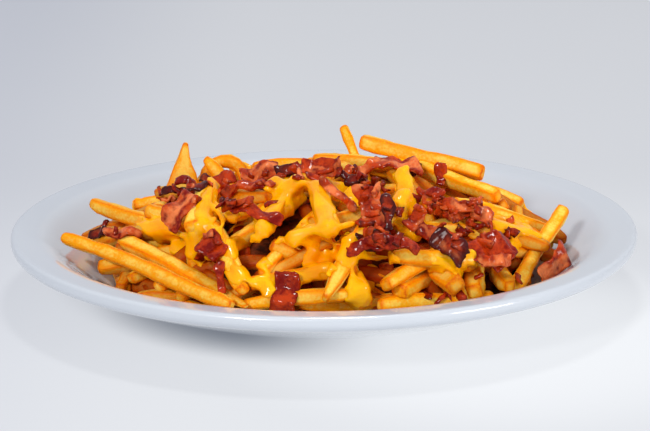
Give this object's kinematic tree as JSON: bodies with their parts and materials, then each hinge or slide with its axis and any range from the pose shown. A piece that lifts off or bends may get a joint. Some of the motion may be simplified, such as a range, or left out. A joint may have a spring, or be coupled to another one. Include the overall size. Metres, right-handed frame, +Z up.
{
  "type": "cheese fries",
  "caption": "Heap of thin fried potato sticks with melted cheese sauce and crisp bacon pieces, served on a round white plate.",
  "frame": {"origin": "middle of the plate's foot ring, on the surface that it stands on", "axes": "+Z up out of the plate, -Y towards the diner at the front, +X to the diner's right"},
  "size_m": [0.3, 0.3, 0.0724],
  "materials": {
    "plate": "gloss white glaze",
    "fries": "fried potato, lightly oiled, browner at edges and ends",
    "cheese_sauce": "wet yellow cheese sauce",
    "bacon": "crisp cooked bacon, oily, with paler fat"
  },
  "bodies": {
    "root": {"plate": "plate", "fries": "fries", "bacon_01": "bacon", "bacon_02": "bacon", "bacon_03": "bacon", "bacon_04": "bacon", "bacon_05": "bacon", "bacon_06": "bacon", "bacon_07": "bacon", "bacon_08": "bacon", "bacon_09": "bacon", "bacon_10": "bacon", "bacon_11": "bacon", "bacon_12": "bacon", "bacon_13": "bacon", "bacon_14": "bacon", "bacon_15": "bacon", "bacon_16": "bacon", "bacon_17": "bacon", "bacon_18": "bacon", "bacon_19": "bacon", "bacon_20": "bacon", "bacon_21": "bacon", "bacon_22": "bacon", "bacon_23": "bacon", "bacon_24": "bacon", "bacon_25": "bacon", "bacon_26": "bacon", "bacon_27": "bacon", "bacon_28": "bacon", "bacon_29": "bacon", "bacon_30": "bacon", "bacon_31": "bacon", "bacon_32": "bacon", "bacon_33": "bacon", "bacon_34": "bacon", "bacon_35": "bacon", "bacon_36": "bacon", "bacon_37": "bacon", "bacon_38": "bacon", "bacon_39": "bacon", "bacon_40": "bacon", "bacon_41": "bacon", "bacon_42": "bacon", "bacon_43": "bacon", "bacon_44": "bacon", "bacon_45": "bacon", "bacon_46": "bacon", "bacon_47": "bacon", "bacon_48": "bacon", "bacon_49": "bacon", "bacon_50": "bacon", "bacon_51": "bacon", "bacon_52": "bacon"}
  },
  "joints": []
}
